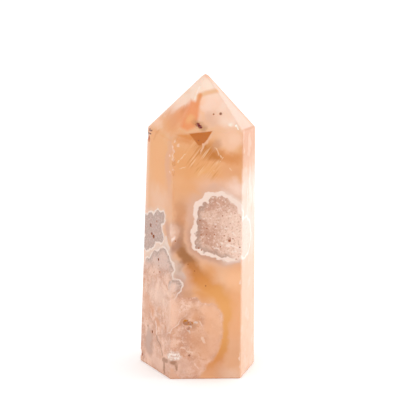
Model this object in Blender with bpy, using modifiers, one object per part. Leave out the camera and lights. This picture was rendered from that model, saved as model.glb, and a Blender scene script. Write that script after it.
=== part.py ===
"""A polished cherry blossom agate point, made of one stone.

The stone is ground as a lapidary grinds it: flat cuts on a rough block give a six-sided shaft that tapers
upwards, a tip of six facets and a flat base. Its arrises are then broken, and its natural pits and its chips
are cut in.

Metres, +Z up. The origin is on the base, under the middle of the stone's box. The front, which shows the large
blossom plume, faces -Y. An azimuth is measured from the front towards +X.
"""

import math

import bmesh
import bpy
from mathutils import Matrix, Vector

MM = 0.001

# Driving dimensions of the stone
APEX = Vector((2.3, -0.9, 80.3)) * MM  # where the tip facets would cross before the point is blunted
ROUGH_BLOCK = Vector((44, 44, 96)) * MM
BLOCK_CENTRE = Vector((0, 0, 46)) * MM
CORNER_CLOSING = 0.7 * MM  # corners that four cuts leave closer than this are polished into one
ARRIS_BREAK = 0.35 * MM
ARRIS_STEPS = 3
LEAST_ARRIS_ANGLE = math.radians(12)
CHIP_STRETCH = 1.5  # a chip runs along its upright arris
MERGE = 0.00002

# Each shaft face: azimuth and inward lean in degrees, and its distance from the axis at the base
SHAFT_FACES = {
    "front": (1.5, 2.75, 11.68 * MM),
    "right": (72.1, 0.55, 14.53 * MM),
    "back_right": (122.7, -0.6, 13.97 * MM),
    "back": (181.0, 1.0, 11.75 * MM),
    "back_left": (-125.2, 1.45, 14.77 * MM),
    "left": (-60.5, 2.3, 12.05 * MM),
}

# Each tip facet: azimuth, and its slope above the horizontal, in degrees
TIP_FACETS = {
    "front": (-0.6, 63.4),
    "right": (75.7, 51.6),
    "back_right": (121.3, 48.6),
    "back": (182.0, 53.0),
    "back_left": (-124.4, 44.4),
    "left": (-55.7, 56.9),
}

# Natural pits: a point on the surface in millimetres, the radius of the ball that fits the pit, and its depth
PITS = {
    "tip_vug_upper": ((0.2, -7.29, 67.5), 0.6, 0.5),
    "tip_vug_lower": ((0.87, -7.56, 66.97), 0.55, 0.45),
    "tip_pinhole": ((6.16, -6.04, 70.12), 0.35, 0.35),
    "left_plume_high": ((-12.41, 0.65, 39.0), 0.45, 0.4),
    "left_plume_middle": ((-11.97, -0.31, 36.9), 0.35, 0.3),
    "left_plume_low": ((-11.46, -1.26, 36.3), 0.5, 0.4),
    "left_lower_plume": ((-10.13, -4.07, 30.7), 0.35, 0.35),
    "front_plume": ((8.5, -9.65, 37.8), 0.4, 0.35),
    "drusy_hollow": ((-2.85, -11.02, 15.4), 0.8, 0.6),
    "drusy_hollow_side": ((-1.6, -11.0, 15.2), 0.6, 0.35),
    "drusy_hollow_below": ((-2.25, -11.08, 13.8), 0.5, 0.3),
    "left_low_pinhole": ((-12.02, -2.4, 10.1), 0.4, 0.35),
    "front_low_pinhole": ((-2.03, -11.43, 6.5), 0.3, 0.3),
    "back_plume": ((-3.4, 11.05, 43.0), 0.5, 0.4),
    "back_plume_low": ((-1.2, 11.2, 36.5), 0.4, 0.3),
    "back_right_hollow": ((13.3, 5.6, 22.0), 0.6, 0.4),
}

# Shell-shaped chips: a point on the arris in millimetres, the scar's radius across the arris, and its depth
CHIPS = {
    "shoulder_notch_top": ((-12.95, 3.75, 64.5), 0.8, 0.45),
    "shoulder_notch_bottom": ((-13.1, 3.95, 62.7), 0.8, 0.45),
    "front_left_bruise_high": ((-6.0, -8.9, 60.7), 0.7, 0.32),
    "front_left_bruise": ((-6.1, -8.98, 58.0), 1.0, 0.5),
    "front_left_bruise_low": ((-6.1, -9.1, 55.2), 0.8, 0.36),
    "base_left_chip": ((-15.55, 3.2, 2.2), 0.9, 0.45),
    "base_back_chip": ((8.9, 11.8, 0.4), 1.6, 0.6),
}


def fresh_collection(name):
    collection = bpy.data.collections.new(name)
    bpy.context.scene.collection.children.link(collection)
    return collection


def outward(azimuth, lean):
    """The outward normal of a face at this azimuth that leans inward by so many degrees from the vertical."""
    turn, tilt = math.radians(azimuth), math.radians(lean)
    flat = Vector((math.sin(turn), -math.cos(turn), 0))
    return flat * math.cos(tilt) + Vector((0, 0, math.sin(tilt)))


def cutting_planes():
    """A point and an outward normal for the base, for each shaft face and for each tip facet."""
    planes = [(Vector((0, 0, 0)), Vector((0, 0, -1)))]
    for azimuth, lean, distance in SHAFT_FACES.values():
        planes.append((outward(azimuth, 0) * distance, outward(azimuth, lean)))
    for azimuth, slope in TIP_FACETS.values():
        planes.append((APEX.copy(), outward(azimuth, 90 - slope)))
    return planes


def grind(rough, point, normal):
    """Removes the stone beyond the plane and closes the cut with one flat facet."""
    everything = rough.verts[:] + rough.edges[:] + rough.faces[:]
    cut = bmesh.ops.bisect_plane(
        rough, geom=everything, dist=MERGE, plane_co=point, plane_no=normal, clear_outer=True
    )
    rim = [part for part in cut["geom_cut"] if isinstance(part, bmesh.types.BMEdge)]
    bmesh.ops.holes_fill(rough, edges=rim)


def ground_stone(collection):
    """The stone as it leaves the grinding wheel: flat facets that meet in sharp arrises."""
    rough = bmesh.new()
    bmesh.ops.create_cube(rough, size=1)
    bmesh.ops.scale(rough, vec=ROUGH_BLOCK, verts=rough.verts)
    bmesh.ops.translate(rough, vec=BLOCK_CENTRE, verts=rough.verts)
    for point, normal in cutting_planes():
        grind(rough, point, normal)
    bmesh.ops.remove_doubles(rough, verts=rough.verts, dist=CORNER_CLOSING)
    bmesh.ops.recalc_face_normals(rough, faces=rough.faces)
    mesh = bpy.data.meshes.new("agate_point")
    rough.to_mesh(mesh)
    rough.free()
    stone = bpy.data.objects.new("agate_point", mesh)
    collection.objects.link(stone)
    return stone


def break_arrises(stone):
    """Rounds every edge between facets by a little, as the last polishing does."""
    bevel = stone.modifiers.new("broken_arrises", "BEVEL")
    bevel.width = ARRIS_BREAK
    bevel.segments = ARRIS_STEPS
    bevel.limit_method = "ANGLE"
    bevel.angle_limit = LEAST_ARRIS_ANGLE


def onto_surface(point):
    """Drops a point that is given roughly onto the facet nearest to it."""
    gaps = [((point - on_plane).dot(normal), normal) for on_plane, normal in cutting_planes()]
    gap, normal = max(gaps, key=lambda entry: entry[0])
    return point - normal * gap


def surface_normal(point):
    """The mean outward normal of the facets that pass within an arris's width of a point on the stone."""
    near = [normal for on_plane, normal in cutting_planes() if abs((point - on_plane).dot(normal)) < ARRIS_BREAK]
    total = Vector((0, 0, 0))
    for normal in near:
        total += normal
    return total.normalized()


def scoop(name, point, radius, depth, collection, stretch=1.0):
    """A ball that bites into the stone at a point on its surface, stretched upwards if asked."""
    bpy.ops.mesh.primitive_ico_sphere_add(subdivisions=2, radius=radius * MM)
    ball = bpy.context.object
    ball.name = "cutter_" + name
    ball.data.transform(Matrix.Diagonal((1, 1, stretch, 1)))
    on_surface = onto_surface(Vector(point) * MM)
    ball.location = on_surface + surface_normal(on_surface) * (radius - depth) * MM
    ball.hide_render = True
    ball.display_type = "WIRE"
    for holder in ball.users_collection:
        holder.objects.unlink(ball)
    collection.objects.link(ball)
    return ball


def cut_with(stone, cutters):
    """Takes the cutters' shapes out of the stone."""
    for cutter in cutters:
        boolean = stone.modifiers.new(cutter.name, "BOOLEAN")
        boolean.operation = "DIFFERENCE"
        boolean.object = cutter


def chalcedony():
    """Polished peach chalcedony, which lets some light through."""
    material = bpy.data.materials.new("polished_agate")
    material.use_nodes = True
    shader = material.node_tree.nodes["Principled BSDF"]
    shader.inputs["Base Color"].default_value = (0.82, 0.47, 0.27, 1)
    shader.inputs["Roughness"].default_value = 0.12
    shader.inputs["Metallic"].default_value = 0.0
    shader.inputs["IOR"].default_value = 1.54
    return material


def main():
    for old in list(bpy.data.objects):
        bpy.data.objects.remove(old)
    parts = fresh_collection("cherry_blossom_agate_point")
    cutters = fresh_collection("cutters")
    stone = ground_stone(parts)
    break_arrises(stone)
    bites = [scoop(name, *place, cutters) for name, place in PITS.items()]
    bites += [scoop(name, *place, cutters, stretch=CHIP_STRETCH) for name, place in CHIPS.items()]
    cut_with(stone, bites)
    stone.data.materials.append(chalcedony())


main()
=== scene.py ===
# %% [markdown]
# # A polished cherry blossom agate point
# The real stone is one piece of chalcedony, ground to six sides and a six-sided tip, then polished. Pink and
# grey plumes grew inside it, and grinding cuts them open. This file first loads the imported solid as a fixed
# frame, then makes a finer stone around the same planes, paints it with one solid texture, and lights it.

# %% Load the frame
import math

import bpy
import numpy as np
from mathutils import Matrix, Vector


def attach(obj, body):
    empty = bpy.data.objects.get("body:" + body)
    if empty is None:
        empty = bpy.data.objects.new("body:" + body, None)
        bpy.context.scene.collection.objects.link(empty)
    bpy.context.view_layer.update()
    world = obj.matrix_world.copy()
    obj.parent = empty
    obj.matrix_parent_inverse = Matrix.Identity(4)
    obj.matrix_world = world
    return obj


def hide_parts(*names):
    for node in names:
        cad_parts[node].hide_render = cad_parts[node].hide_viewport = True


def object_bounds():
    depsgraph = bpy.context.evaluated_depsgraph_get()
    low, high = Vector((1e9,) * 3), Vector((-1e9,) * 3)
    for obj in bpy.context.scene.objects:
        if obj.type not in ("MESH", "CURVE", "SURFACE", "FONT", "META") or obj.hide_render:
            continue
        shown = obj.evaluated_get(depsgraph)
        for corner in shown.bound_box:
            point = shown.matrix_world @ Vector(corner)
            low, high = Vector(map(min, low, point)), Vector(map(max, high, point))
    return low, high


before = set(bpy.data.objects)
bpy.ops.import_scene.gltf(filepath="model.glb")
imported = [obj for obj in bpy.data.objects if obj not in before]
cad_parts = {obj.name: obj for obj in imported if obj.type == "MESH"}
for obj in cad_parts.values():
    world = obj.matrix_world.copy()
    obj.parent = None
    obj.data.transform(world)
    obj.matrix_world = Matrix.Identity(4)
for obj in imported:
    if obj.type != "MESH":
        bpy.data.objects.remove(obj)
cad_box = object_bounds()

MM = 0.001
print("frame loaded, box in mm:", [[round(value / MM, 1) for value in corner] for corner in cad_box])

# %% [markdown]
# ## The facets
# Every later step needs the flat facets: the stone is cut along them, and the colours are placed on them.
# They could be typed in again, but then two files would have to agree. It is safer to read them from the
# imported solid: its large triangles give each facet's plane, and the way a facet faces gives it its name.

# %% Read the facets from the solid
SAME_FACET = math.radians(1.5)
LEAST_TRIANGLE = 1e-9
LEAST_FACET = 25 * MM * MM
STEEPEST_TIP = 0.4
COMPASS = {"front": 0, "right": 72, "back_right": 122, "back": 180, "back_left": -125, "left": -60}


def read_facets(mesh):
    """Groups a mesh's triangles by their direction, the largest first, and keeps the groups of facet size."""
    groups = []
    for triangle in sorted(mesh.polygons, key=lambda polygon: -polygon.area):
        if triangle.area < LEAST_TRIANGLE:
            continue
        for group in groups:
            if group["normal"].angle(triangle.normal) < SAME_FACET:
                group["area"] += triangle.area
                break
        else:
            found = {"normal": triangle.normal.copy(), "point": triangle.center.copy(), "area": triangle.area}
            groups.append(found)
    return [group for group in groups if group["area"] > LEAST_FACET]


def facet_name(normal):
    if normal.z < -STEEPEST_TIP:
        return "base"
    azimuth = math.degrees(math.atan2(normal.x, -normal.y))
    side = min(COMPASS, key=lambda name: abs((azimuth - COMPASS[name] + 180) % 360 - 180))
    return side + "_tip" if normal.z > STEEPEST_TIP else side


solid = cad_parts["agate_point"]
facets = {facet_name(facet["normal"]): facet for facet in read_facets(solid.data)}
for name, facet in sorted(facets.items()):
    print(f"{name:16s} {facet['area'] / MM ** 2:7.1f} mm2")

# %% [markdown]
# A place on the stone is easiest to give as seen from the front: which facet it is on, how far across it is
# (x) and how high (z), in millimetres. The facet's plane then gives the depth.

# %% Find a place on a facet


def on_facet(name, across, height):
    """The point of a facet, in millimetres, at this x and z."""
    normal, start = facets[name]["normal"], facets[name]["point"] / MM
    depth = start.y - (normal.x * (across - start.x) + normal.z * (height - start.z)) / normal.y
    return Vector((across, depth, height))


print("middle of the front face:", [round(value, 2) for value in on_facet("front", 2, 32)])

# %% [markdown]
# ## Grinding the stone
# A lapidary starts with a rough block and takes off one flat at a time. The same works here: a cube is cut in
# edit mode by one bisect for each facet, which removes what lies beyond the plane and fills the cut. A cone
# with six sides would need less work, but no two sides of the real point are alike.

# %% Start with a rough block
ROUGH_SIZE = (44 * MM, 44 * MM, 96 * MM)
ROUGH_MIDDLE = (0, 0, 46 * MM)


def choose_only(thing):
    """Makes one object the active one and the only one that is selected."""
    bpy.ops.object.select_all(action="DESELECT")
    bpy.context.view_layer.objects.active = thing
    thing.select_set(True)


bpy.ops.object.select_all(action="DESELECT")
bpy.ops.mesh.primitive_cube_add(size=1, location=ROUGH_MIDDLE, scale=ROUGH_SIZE)
stone = bpy.context.object
stone.name = "polished_stone"
stone.data.name = "polished_stone"
bpy.ops.object.transform_apply(location=True, rotation=True, scale=True)
print("rough block:", [round(side / MM) for side in stone.dimensions])

# %% Grind one flat for each facet
CORNER_CLOSING = 0.7 * MM
SAME_PLACE = 1e-6

choose_only(stone)
bpy.ops.object.mode_set(mode="EDIT")
for facet in facets.values():
    bpy.ops.mesh.select_all(action="SELECT")
    bpy.ops.mesh.bisect(
        plane_co=facet["point"], plane_no=facet["normal"],
        use_fill=True, clear_outer=True, threshold=SAME_PLACE,
    )
bpy.ops.mesh.select_all(action="SELECT")
bpy.ops.mesh.remove_doubles(threshold=CORNER_CLOSING)
bpy.ops.mesh.select_all(action="SELECT")
bpy.ops.mesh.normals_make_consistent(inside=False)
bpy.ops.object.mode_set(mode="OBJECT")
print("ground stone:", len(stone.data.polygons), "facets,", len(stone.data.vertices), "corners")

# %% [markdown]
# The last polishing breaks every sharp arris by about a third of a millimetre. The bevel operator does this
# to all edges at once. Four segments make the narrow round catch the light as a soft line.

# %% Break the arrises
ARRIS_BREAK = 0.34 * MM
ARRIS_SEGMENTS = 4
ROUND_PROFILE = 0.5

bpy.ops.object.mode_set(mode="EDIT")
bpy.ops.mesh.select_all(action="SELECT")
bpy.ops.mesh.bevel(
    offset=ARRIS_BREAK, offset_type="OFFSET", segments=ARRIS_SEGMENTS, profile=ROUND_PROFILE, affect="EDGES"
)
bpy.ops.object.mode_set(mode="OBJECT")
print("with broken arrises:", len(stone.data.polygons), "faces")

# %% [markdown]
# Hand-held polishing never leaves a perfect plane: a facet is a few hundredths of a millimetre higher in its
# middle. A flat needs points inside it before it can be crowned. Subdividing a many-sided face gives poor
# triangles, so the stone is sliced into a grid by more bisects, this time without removing anything.

# %% Slice the facets into a grid
GRID = 1.6 * MM


def slice_across(axis, low, high):
    """Cuts the stone's faces by planes across one axis, one grid step apart."""
    normal = [0, 0, 0]
    normal[axis] = 1
    for position in np.arange(low + GRID / 2, high, GRID):
        place = [0, 0, 0]
        place[axis] = position
        bpy.ops.mesh.select_all(action="SELECT")
        bpy.ops.mesh.bisect(plane_co=place, plane_no=normal, threshold=SAME_PLACE)


bpy.ops.object.mode_set(mode="EDIT")
for axis in range(3):
    slice_across(axis, cad_box[0][axis], cad_box[1][axis])
bpy.ops.object.mode_set(mode="OBJECT")
print("sliced:", len(stone.data.polygons), "faces")

# %% Crown the facets
CROWN = 0.05 * MM
CROWN_RUN = 4 * MM
ON_FACET = 0.001 * MM


def crown_facets(mesh):
    """Lifts the points inside each facet, the base apart, by more the further they are from its arrises."""
    names = list(facets)
    normals = np.array([facets[name]["normal"] for name in names])
    levels = np.array([facets[name]["normal"].dot(facets[name]["point"]) for name in names])
    points = np.empty(len(mesh.vertices) * 3)
    mesh.vertices.foreach_get("co", points)
    points = points.reshape(-1, 3)
    gaps = levels - points @ normals.T
    order = np.argsort(gaps, axis=1)
    nearest = order[:, 0]
    rows = np.arange(len(points))
    run = np.clip(gaps[rows, order[:, 1]] / CROWN_RUN, 0, 1)
    lift = CROWN * run * run * (3 - 2 * run)
    lift[(gaps[rows, nearest] > ON_FACET) | (nearest == names.index("base"))] = 0
    points += normals[nearest] * lift[:, None]
    mesh.vertices.foreach_set("co", points.ravel())
    mesh.update()
    return lift.max()


print(f"facets crowned by up to {crown_facets(stone.data) / MM:.3f} mm")

# %% [markdown]
# ## Pits and chips
# Small natural hollows stay open in the polished surface, and the arrises have shell-shaped chips. Each one
# is bitten out by a ball. A smooth ball would leave a dimple like a golf ball's, so each is first roughened
# by a Displace modifier with a cloud texture. The joined balls then cut the stone in a single Boolean.

# %% Where the pits and chips are
# Each has a point on the stone, the ball's radius and the bite's depth, in millimetres
PITS = {
    "tip_vug_upper": ((0.2, -7.29, 67.5), 0.6, 0.5),
    "tip_vug_lower": ((0.87, -7.56, 66.97), 0.55, 0.45),
    "tip_pinhole": ((6.16, -6.04, 70.12), 0.35, 0.35),
    "left_plume_high": ((-12.41, 0.65, 39.0), 0.45, 0.4),
    "left_plume_middle": ((-11.97, -0.31, 36.9), 0.35, 0.3),
    "left_plume_low": ((-11.46, -1.26, 36.3), 0.5, 0.4),
    "left_lower_plume": ((-10.13, -4.07, 30.7), 0.35, 0.35),
    "front_plume": ((8.5, -9.65, 37.8), 0.4, 0.35),
    "drusy_hollow": ((-2.85, -11.02, 15.4), 0.8, 0.6),
    "drusy_hollow_side": ((-1.6, -11.0, 15.2), 0.6, 0.35),
    "drusy_hollow_below": ((-2.25, -11.08, 13.8), 0.5, 0.3),
    "left_low_pinhole": ((-12.02, -2.4, 10.1), 0.4, 0.35),
    "front_low_pinhole": ((-2.03, -11.43, 6.5), 0.3, 0.3),
    "back_plume": ((-3.4, 11.05, 43.0), 0.5, 0.4),
    "back_plume_low": ((-1.2, 11.2, 36.5), 0.4, 0.3),
    "back_right_hollow": ((13.05, 5.45, 22.0), 0.6, 0.4),
}
CHIPS = {
    "shoulder_notch_top": ((-12.95, 3.75, 64.5), 0.8, 0.45),
    "shoulder_notch_bottom": ((-13.1, 3.95, 62.7), 0.8, 0.45),
    "front_left_bruise_high": ((-6.0, -8.9, 60.7), 0.7, 0.32),
    "front_left_bruise": ((-6.1, -8.98, 58.0), 1.0, 0.5),
    "front_left_bruise_low": ((-6.1, -9.1, 55.2), 0.8, 0.36),
    "base_left_chip": ((-15.55, 3.2, 2.2), 0.9, 0.45),
    "base_back_chip": ((8.9, 11.8, 0.4), 1.6, 0.6),
}
CHIP_STRETCH = 1.5  # a chip runs along its upright arris
print(len(PITS), "pits and", len(CHIPS), "chips")

# %% Make the balls that bite
ROUGHNESS_OF_BITE = 0.3
BALL_STEPS = 4
GRIT = bpy.data.textures.new("grit_in_the_pits", "CLOUDS")
GRIT.noise_scale = 0.35 * MM
GRIT.noise_depth = 2


def onto_surface(point):
    """Drops a point that is given roughly onto the facet nearest to it, in metres."""
    gaps = [(facet["normal"].dot(point - facet["point"]), facet["normal"]) for facet in facets.values()]
    gap, normal = max(gaps, key=lambda entry: entry[0])
    return point - normal * gap


def direction_out(point):
    """The mean direction of the facets that pass close to a point."""
    total = Vector((0, 0, 0))
    for facet in facets.values():
        if abs(facet["normal"].dot(point - facet["point"])) < ARRIS_BREAK:
            total += facet["normal"]
    return total.normalized()


def biting_ball(point, radius, depth, stretch):
    surface = onto_surface(Vector(point) * MM)
    middle = surface + direction_out(surface) * (radius - depth) * MM
    bpy.ops.mesh.primitive_ico_sphere_add(
        subdivisions=BALL_STEPS, radius=radius * MM, location=middle, scale=(1, 1, stretch)
    )
    ball = bpy.context.object
    bpy.ops.object.transform_apply(location=True, rotation=True, scale=True)
    rough = ball.modifiers.new("rough", "DISPLACE")
    rough.texture = GRIT
    rough.texture_coords = "GLOBAL"
    rough.strength = radius * ROUGHNESS_OF_BITE * MM
    rough.mid_level = 0.5
    bpy.ops.object.modifier_apply(modifier=rough.name)
    return ball


balls = []
for bites_of_a_kind, stretch in ((PITS, 1), (CHIPS, CHIP_STRETCH)):
    for point, radius, depth in bites_of_a_kind.values():
        bpy.ops.object.select_all(action="DESELECT")
        balls.append(biting_ball(point, radius, depth, stretch))
print(len(balls), "biting balls")

# %% Bite them out of the stone
choose_only(balls[0])
for ball in balls:
    ball.select_set(True)
bpy.ops.object.join()
cutter = bpy.context.object

choose_only(stone)
bites = stone.modifiers.new("bites", "BOOLEAN")
bites.operation = "DIFFERENCE"
bites.object = cutter
bites.use_self = True
bpy.ops.object.modifier_apply(modifier=bites.name)
bpy.data.objects.remove(cutter)
print("stone with its pits and chips:", len(stone.data.polygons), "faces")

# %% [markdown]
# Smooth shading by angle keeps the broken arrises round and the pits crisp. A weighted normal then gives each
# large flat more say than its narrow arrises, so that the facets look flat and only the arrises look round.

# %% Shade the stone
SMOOTH_UP_TO = math.radians(30)

choose_only(stone)
bpy.ops.object.shade_smooth_by_angle(angle=SMOOTH_UP_TO)
weighted = stone.modifiers.new("flat_facets", "WEIGHTED_NORMAL")
weighted.keep_sharp = True
bpy.ops.object.modifier_apply(modifier=weighted.name)

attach(stone, "root")
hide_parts("agate_point")
print("stone rides on root")

# %% [markdown]
# ## Polished chalcedony
# Chalcedony is quartz in crystals too small to see. It takes a glassy polish, its index is 1.54, and light
# enters it a little way, which softens the colours. The markings go right through the stone, so they are a
# solid texture: each marking is a shape in space, in millimetres, and the facets show where they cut it. An
# image would have seams at the arrises, and a flat texture would not agree from one facet to the next.

# %% A material, and one function that adds a node
GLOSS_VEIL = 0.045
ROOM_LIGHT = 1.09
VECTOR_MATH = "ShaderNodeVectorMath"

# Gives the eye a glassy skin over soft colours that seem to lie a little below it
polished_chalcedony = bpy.data.materials.new("polished_chalcedony")
polished_chalcedony.use_nodes = True
nodes, links = polished_chalcedony.node_tree.nodes, polished_chalcedony.node_tree.links
stone.data.materials.append(polished_chalcedony)


def add_node(kind, inputs=None, **settings):
    """Adds one node with its settings. An input's value is a number, a colour or the socket that feeds it."""
    node = nodes.new(kind)
    for name, value in settings.items():
        setattr(node, name, value)
    for key, value in (inputs or {}).items():
        if isinstance(value, bpy.types.NodeSocket):
            links.new(value, node.inputs[key])
        else:
            node.inputs[key].default_value = value
    return node


def linear(hex_colour):
    """The linear base colour of a face that looks like this sRGB hex colour in the white room.

    A polished face also mirrors a little of the white room, and the room's light is a little more than 1."""
    values = [int(hex_colour[place:place + 2], 16) / 255 for place in (1, 3, 5)]
    light = [v / 12.92 if v <= 0.04045 else ((v + 0.055) / 1.055) ** 2.4 for v in values]
    return tuple(max(0.0, (v / ROOM_LIGHT - GLOSS_VEIL) / (1 - GLOSS_VEIL)) for v in light) + (1.0,)


print("honey in linear values:", [round(value, 3) for value in linear("#EAAB7B")])

# %% [markdown]
# Nature draws no straight soft edge. The place that most markings read is shifted a little by noise: slow
# waves of about 6 mm bend the soft zones, and waves of 2 mm and 0.7 mm ruffle the plumes. The straight place
# serves noise, depths, dots and the marks with an outline.

# %% Places in millimetres, straight and wavy
WAVE_LENGTH, WAVE_SHIFT = 6.0, 0.9
RUFFLE_LENGTH, RUFFLE_SHIFT = 2.0, 0.45
FINE_LENGTH, FINE_SHIFT = 0.7, 0.16

place = add_node("ShaderNodeTexCoord").outputs["Object"]
straight = add_node(VECTOR_MATH, {0: place, "Scale": 1 / MM}, operation="SCALE").outputs["Vector"]


def shifted(where, length, shift, detail=1.0):
    """A place moved by smooth noise with waves of this length and a swing of about this, in millimetres."""
    inputs = {"Vector": straight, "Scale": 1 / length, "Detail": detail}
    noise = add_node("ShaderNodeTexNoise", inputs, normalize=False).outputs["Color"]
    channels = add_node("ShaderNodeSeparateColor", {0: noise}).outputs
    swing = add_node("ShaderNodeCombineXYZ", dict(enumerate(channels))).outputs["Vector"]
    inputs = {0: swing, 1: (shift, shift, shift), 2: where}
    return add_node(VECTOR_MATH, inputs, operation="MULTIPLY_ADD").outputs["Vector"]


ruffled = shifted(shifted(straight, RUFFLE_LENGTH, RUFFLE_SHIFT), FINE_LENGTH, FINE_SHIFT)
wavy = shifted(ruffled, WAVE_LENGTH, WAVE_SHIFT, detail=2.0)
print("three sets of places: straight, ruffled and wavy")

# %% Small steps that every marking is made of
MIX_A, MIX_B, MIX_RESULT = 6, 7, 2  # a Mix node's sockets for colours


def fade(field, none, full, strength=1.0):
    """A mask that is 0 where the field is at none and rises smoothly to strength where it is at full."""
    inputs = {"Value": field, "From Min": none, "From Max": full, "To Min": 0.0, "To Max": strength}
    return add_node("ShaderNodeMapRange", inputs, interpolation_type="SMOOTHSTEP").outputs["Result"]


def lay(under, over, mask):
    """Lays a colour over the colours so far, where the mask says."""
    over = linear(over) if isinstance(over, str) else over
    under = linear(under) if isinstance(under, str) else under
    inputs = {0: mask, MIX_A: under, MIX_B: over}
    return add_node("ShaderNodeMix", inputs, data_type="RGBA").outputs[MIX_RESULT]


def calculate(operation, *values):
    inputs = dict(enumerate(values))
    return add_node("ShaderNodeMath", inputs, operation=operation).outputs[0]


def grain(length, detail=2.0, roughness=0.5):
    """Smooth noise between 0 and 1 with features of this length in millimetres."""
    inputs = {"Vector": straight, "Scale": 1 / length, "Detail": detail, "Roughness": roughness}
    return add_node("ShaderNodeTexNoise", inputs).outputs["Fac"]


def cells(length, where=straight):
    """Distance to the nearest of scattered points about this length apart, as a share of that length."""
    return add_node("ShaderNodeTexVoronoi", {"Vector": where, "Scale": 1 / length}).outputs["Distance"]


def under_facet(name):
    """How far a place lies under a facet's plane, in millimetres."""
    normal, start = facets[name]["normal"], facets[name]["point"] / MM
    reach = add_node(VECTOR_MATH, {0: straight, 1: normal}, operation="DOT_PRODUCT").outputs["Value"]
    return calculate("SUBTRACT", normal.dot(start), reach)


def ramp(field, low, high, stops):
    """A colour that changes along a field, which runs from low to high in millimetres."""
    inputs = {"Value": field, "From Min": low, "From Max": high}
    share = add_node("ShaderNodeMapRange", inputs).outputs["Result"]
    node = add_node("ShaderNodeValToRGB", {"Fac": share})
    elements = node.color_ramp.elements
    elements[0].position, elements[1].position = 0, 1
    for position, colour in stops[1:-1]:
        elements.new((position - low) / (high - low)).color = linear(colour)
    elements[0].color = linear(stops[0][1])
    elements[-1].color = linear(stops[-1][1])
    return node.outputs["Color"]


print("helpers for the markings are ready")

# %% [markdown]
# ### The ground colour
# From the tip down the chalcedony goes from cream through honey to a dusky pink. A colour ramp over the
# height gives this, read from the wavy place, and large noise makes it cloudy.

# %% Lay the ground colour
HEIGHT = 80.0

height = add_node("ShaderNodeSeparateXYZ", {0: wavy}).outputs["Z"]
side, _, rise = add_node("ShaderNodeSeparateXYZ", {0: straight}).outputs
colour = ramp(height, 0, HEIGHT, [
    (0, "#E2AD8E"), (12, "#E6AF8C"), (22, "#E9B28C"), (34, "#E8B28C"), (44, "#E8B18B"), (50, "#E9AE82"),
    (57, "#EAAA78"), (63, "#E9AC7B"), (67, "#F4C3A0"), (70, "#FBD3BC"), (76, "#FDE0CB"), (80, "#FBD6C2"),
])
cloud = grain(8.0)
colour = lay(colour, "#F4C29C", fade(cloud, 0.5, 0.72, 0.4))
colour = lay(colour, "#DE9C6C", fade(cloud, 0.48, 0.3, 0.3))
print("ground colour laid")

# %% [markdown]
# ### Soft zones
# Where iron stained the stone more or less, there are soft zones with no edge; two zones are painted
# highlights instead. Each is an egg with a centre on a facet, half a width and half a height in millimetres
# and a turn in degrees. It fades out over its rim.

# %% Lay soft zones
# A slanted facet falls away across an egg, and this many times that depth is added to the egg's own
EGG_REACH = 1.5


def egg(where, facet, across, height, half_width, half_height, turn=0.0):
    """1 on the skin of an egg centred on a facet, less inside it. It is turned as seen from the front."""
    normal = facets[facet]["normal"]
    reach = half_width * abs(normal.x) + half_height * abs(normal.z)
    half_depth = half_width + EGG_REACH * reach / abs(normal.y)
    cosine, sine = math.cos(math.radians(turn)), math.sin(math.radians(turn))
    axes = ((cosine / half_width, 0, -sine / half_width), (0, 1 / half_depth, 0),
            (sine / half_height, 0, cosine / half_height))
    inputs = {0: where, 1: on_facet(facet, across, height)}
    offset = add_node(VECTOR_MATH, inputs, operation="SUBTRACT").outputs["Vector"]
    shares = [
        add_node(VECTOR_MATH, {0: offset, 1: axis}, operation="DOT_PRODUCT").outputs["Value"] for axis in axes
    ]
    local = add_node("ShaderNodeCombineXYZ", dict(enumerate(shares))).outputs["Vector"]
    return add_node(VECTOR_MATH, {0: local}, operation="LENGTH").outputs["Value"]


def lay_zones(colour, zones):
    """Lays each zone: facet, x, z, half width, half height, turn, softness, strength and colour."""
    for *shape, softness, strength, hex_colour in zones.values():
        field = egg(wavy, *shape)
        colour = lay(colour, hex_colour, fade(field, 1 + softness / 2, 1 - softness, strength))
    return colour


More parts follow.
